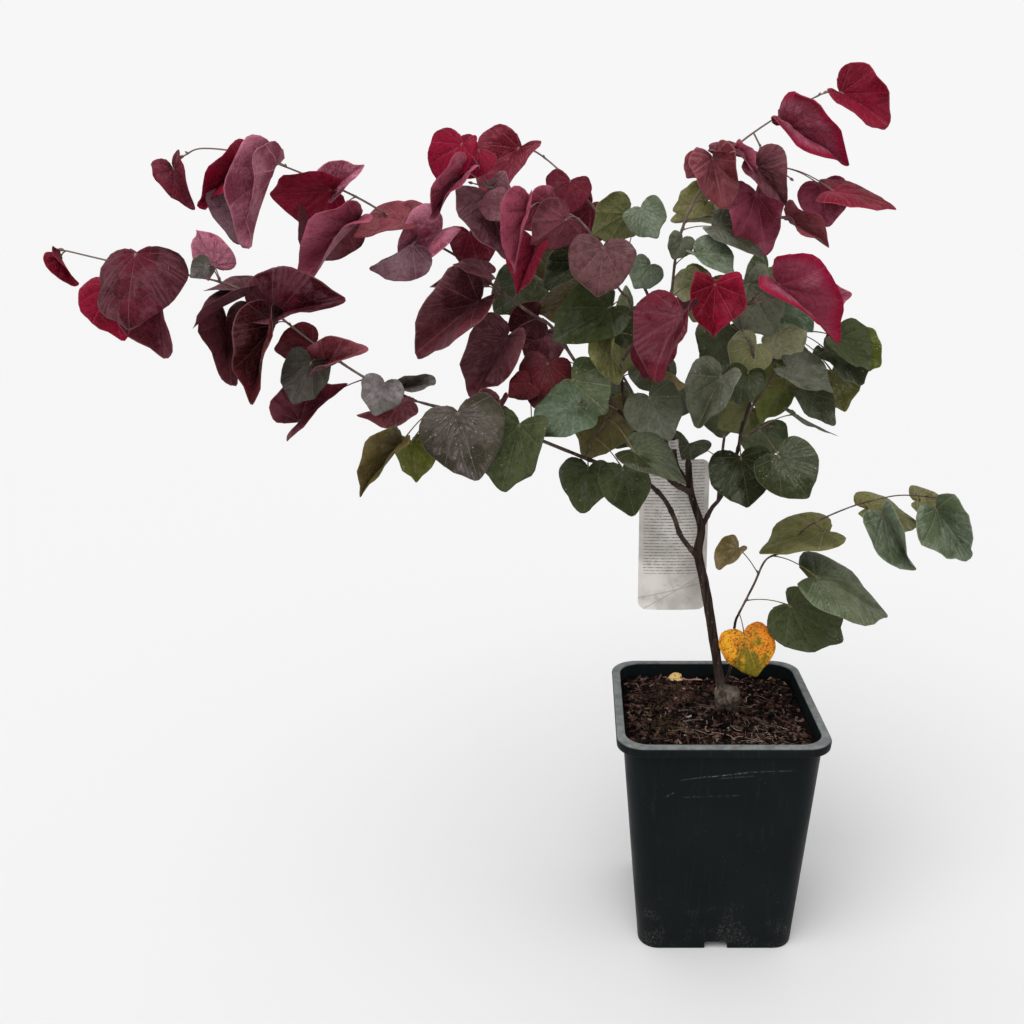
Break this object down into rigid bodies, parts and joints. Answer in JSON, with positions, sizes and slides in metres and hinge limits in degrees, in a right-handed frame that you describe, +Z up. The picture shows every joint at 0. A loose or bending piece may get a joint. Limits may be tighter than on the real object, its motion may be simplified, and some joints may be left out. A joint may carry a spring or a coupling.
{
  "type": "potted redbud tree",
  "caption": "Young redbud tree with heart-shaped maroon and green leaves on slender boughs, in a square nursery pot with soil and a blank hang tag.",
  "frame": {"origin": "middle of the pot's flat underside, on the ground", "axes": "+Z up, +X to the right as seen from the front, -Y towards the front"},
  "size_m": [0.8375, 0.4322, 0.8999],
  "materials": {
    "pot_plastic": "satin",
    "potting_soil": "matte",
    "bark": "matte",
    "leaf_maroon": "satin",
    "leaf_green": "satin",
    "tag_card": "satin"
  },
  "bodies": {
    "root": {"pot": "pot_plastic", "soil": "potting_soil", "trunk": "bark", "bough_low_left": "bark", "bough_high_left": "bark", "bough_leader": "bark", "bough_right": "bark", "bough_middle": "bark", "bough_base_shoot": "bark", "foliage_low_left_inner": "leaf_green", "foliage_high_left_inner": "leaf_maroon", "foliage_low_left_outer": "leaf_maroon", "foliage_high_left_outer": "leaf_maroon", "foliage_centre_front": "leaf_green", "foliage_upper_middle": "leaf_maroon", "foliage_upper_rear": "leaf_maroon", "foliage_leader": "leaf_maroon", "foliage_right_front": "leaf_green", "foliage_right_rear": "leaf_green", "foliage_right_low": "leaf_green", "foliage_centre_rear": "leaf_green", "foliage_back_left": "leaf_green", "foliage_back_middle": "leaf_green", "foliage_back_right": "leaf_green", "foliage_base_shoot": "leaf_green", "hang_tag": "tag_card"}
  },
  "joints": []
}
